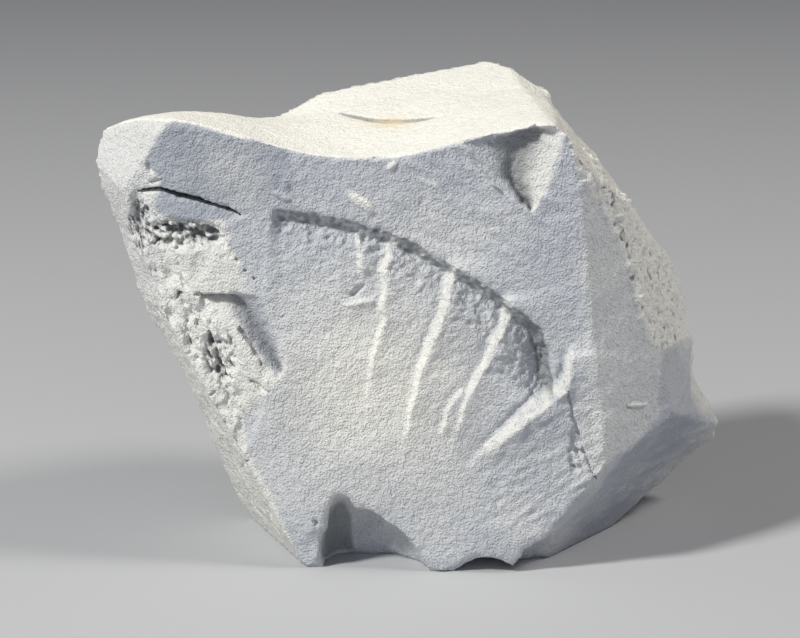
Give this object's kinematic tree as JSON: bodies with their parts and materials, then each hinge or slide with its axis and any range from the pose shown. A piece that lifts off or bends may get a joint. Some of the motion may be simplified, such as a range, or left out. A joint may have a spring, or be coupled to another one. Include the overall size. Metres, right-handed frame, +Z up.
{
  "type": "kaolin lump",
  "caption": "Angular lump of soft white clay rock: broad front face with a curved scarp and fanned ribs, dished top, broken left flank, flat foot.",
  "frame": {"origin": "on the flat foot, under the middle of the lump", "axes": "+Z up from the foot, -Y out of the broad front face with the ribs, +X to that face's right"},
  "size_m": [0.0862, 0.0462, 0.0629],
  "materials": {
    "kaolin_clay": "chalky, fully matte, cream to pale grey, finely granular with rough pitted patches"
  },
  "bodies": {
    "root": {"kaolin_lump": "kaolin_clay"}
  },
  "joints": []
}
